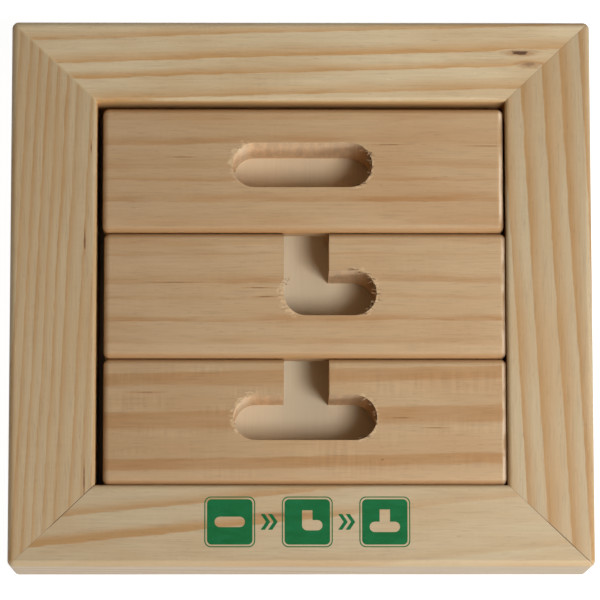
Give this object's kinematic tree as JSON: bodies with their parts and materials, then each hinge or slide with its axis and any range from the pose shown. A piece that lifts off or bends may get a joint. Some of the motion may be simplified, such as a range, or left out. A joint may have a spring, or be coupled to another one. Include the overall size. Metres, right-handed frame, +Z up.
{
  "type": "block-in-tray wooden brain teaser",
  "caption": "Open mitred pine tray holding loose grooved pine blocks side by side, whose routed slots line up into one passage.",
  "frame": {"origin": "centre of the tray's underside, on the surface it stands on", "axes": "+X along the blocks, to the right as played; +Y to the back; +Z up, out of the open top of the tray"},
  "size_m": [0.141, 0.1332, 0.026],
  "materials": {
    "frame_pine": "clear-lacquered pine, satin",
    "block_pine": "bare sanded pine, matte",
    "panel_plywood": "thin plywood, matte",
    "fastener_steel": "bright steel"
  },
  "bodies": {
    "tray": {"frame_front": "frame_pine", "frame_back": "frame_pine", "frame_left": "frame_pine", "frame_right": "frame_pine", "base_panel": "panel_plywood", "mitre_v_nails": "fastener_steel", "panel_brads": "fastener_steel"},
    "back_block": {"block_back": "block_pine"},
    "middle_block": {"block_middle": "block_pine"},
    "front_block": {"block_front": "block_pine"}
  },
  "joints": [
    {"name": "back_block_lift", "type": "slide", "parent": "tray", "child": "back_block", "axis": [0, 0, 1], "range_m": [0, 0.04]},
    {"name": "middle_block_lift", "type": "slide", "parent": "tray", "child": "middle_block", "axis": [0, 0, 1], "range_m": [0, 0.04]},
    {"name": "front_block_lift", "type": "slide", "parent": "tray", "child": "front_block", "axis": [0, 0, 1], "range_m": [0, 0.04]}
  ]
}
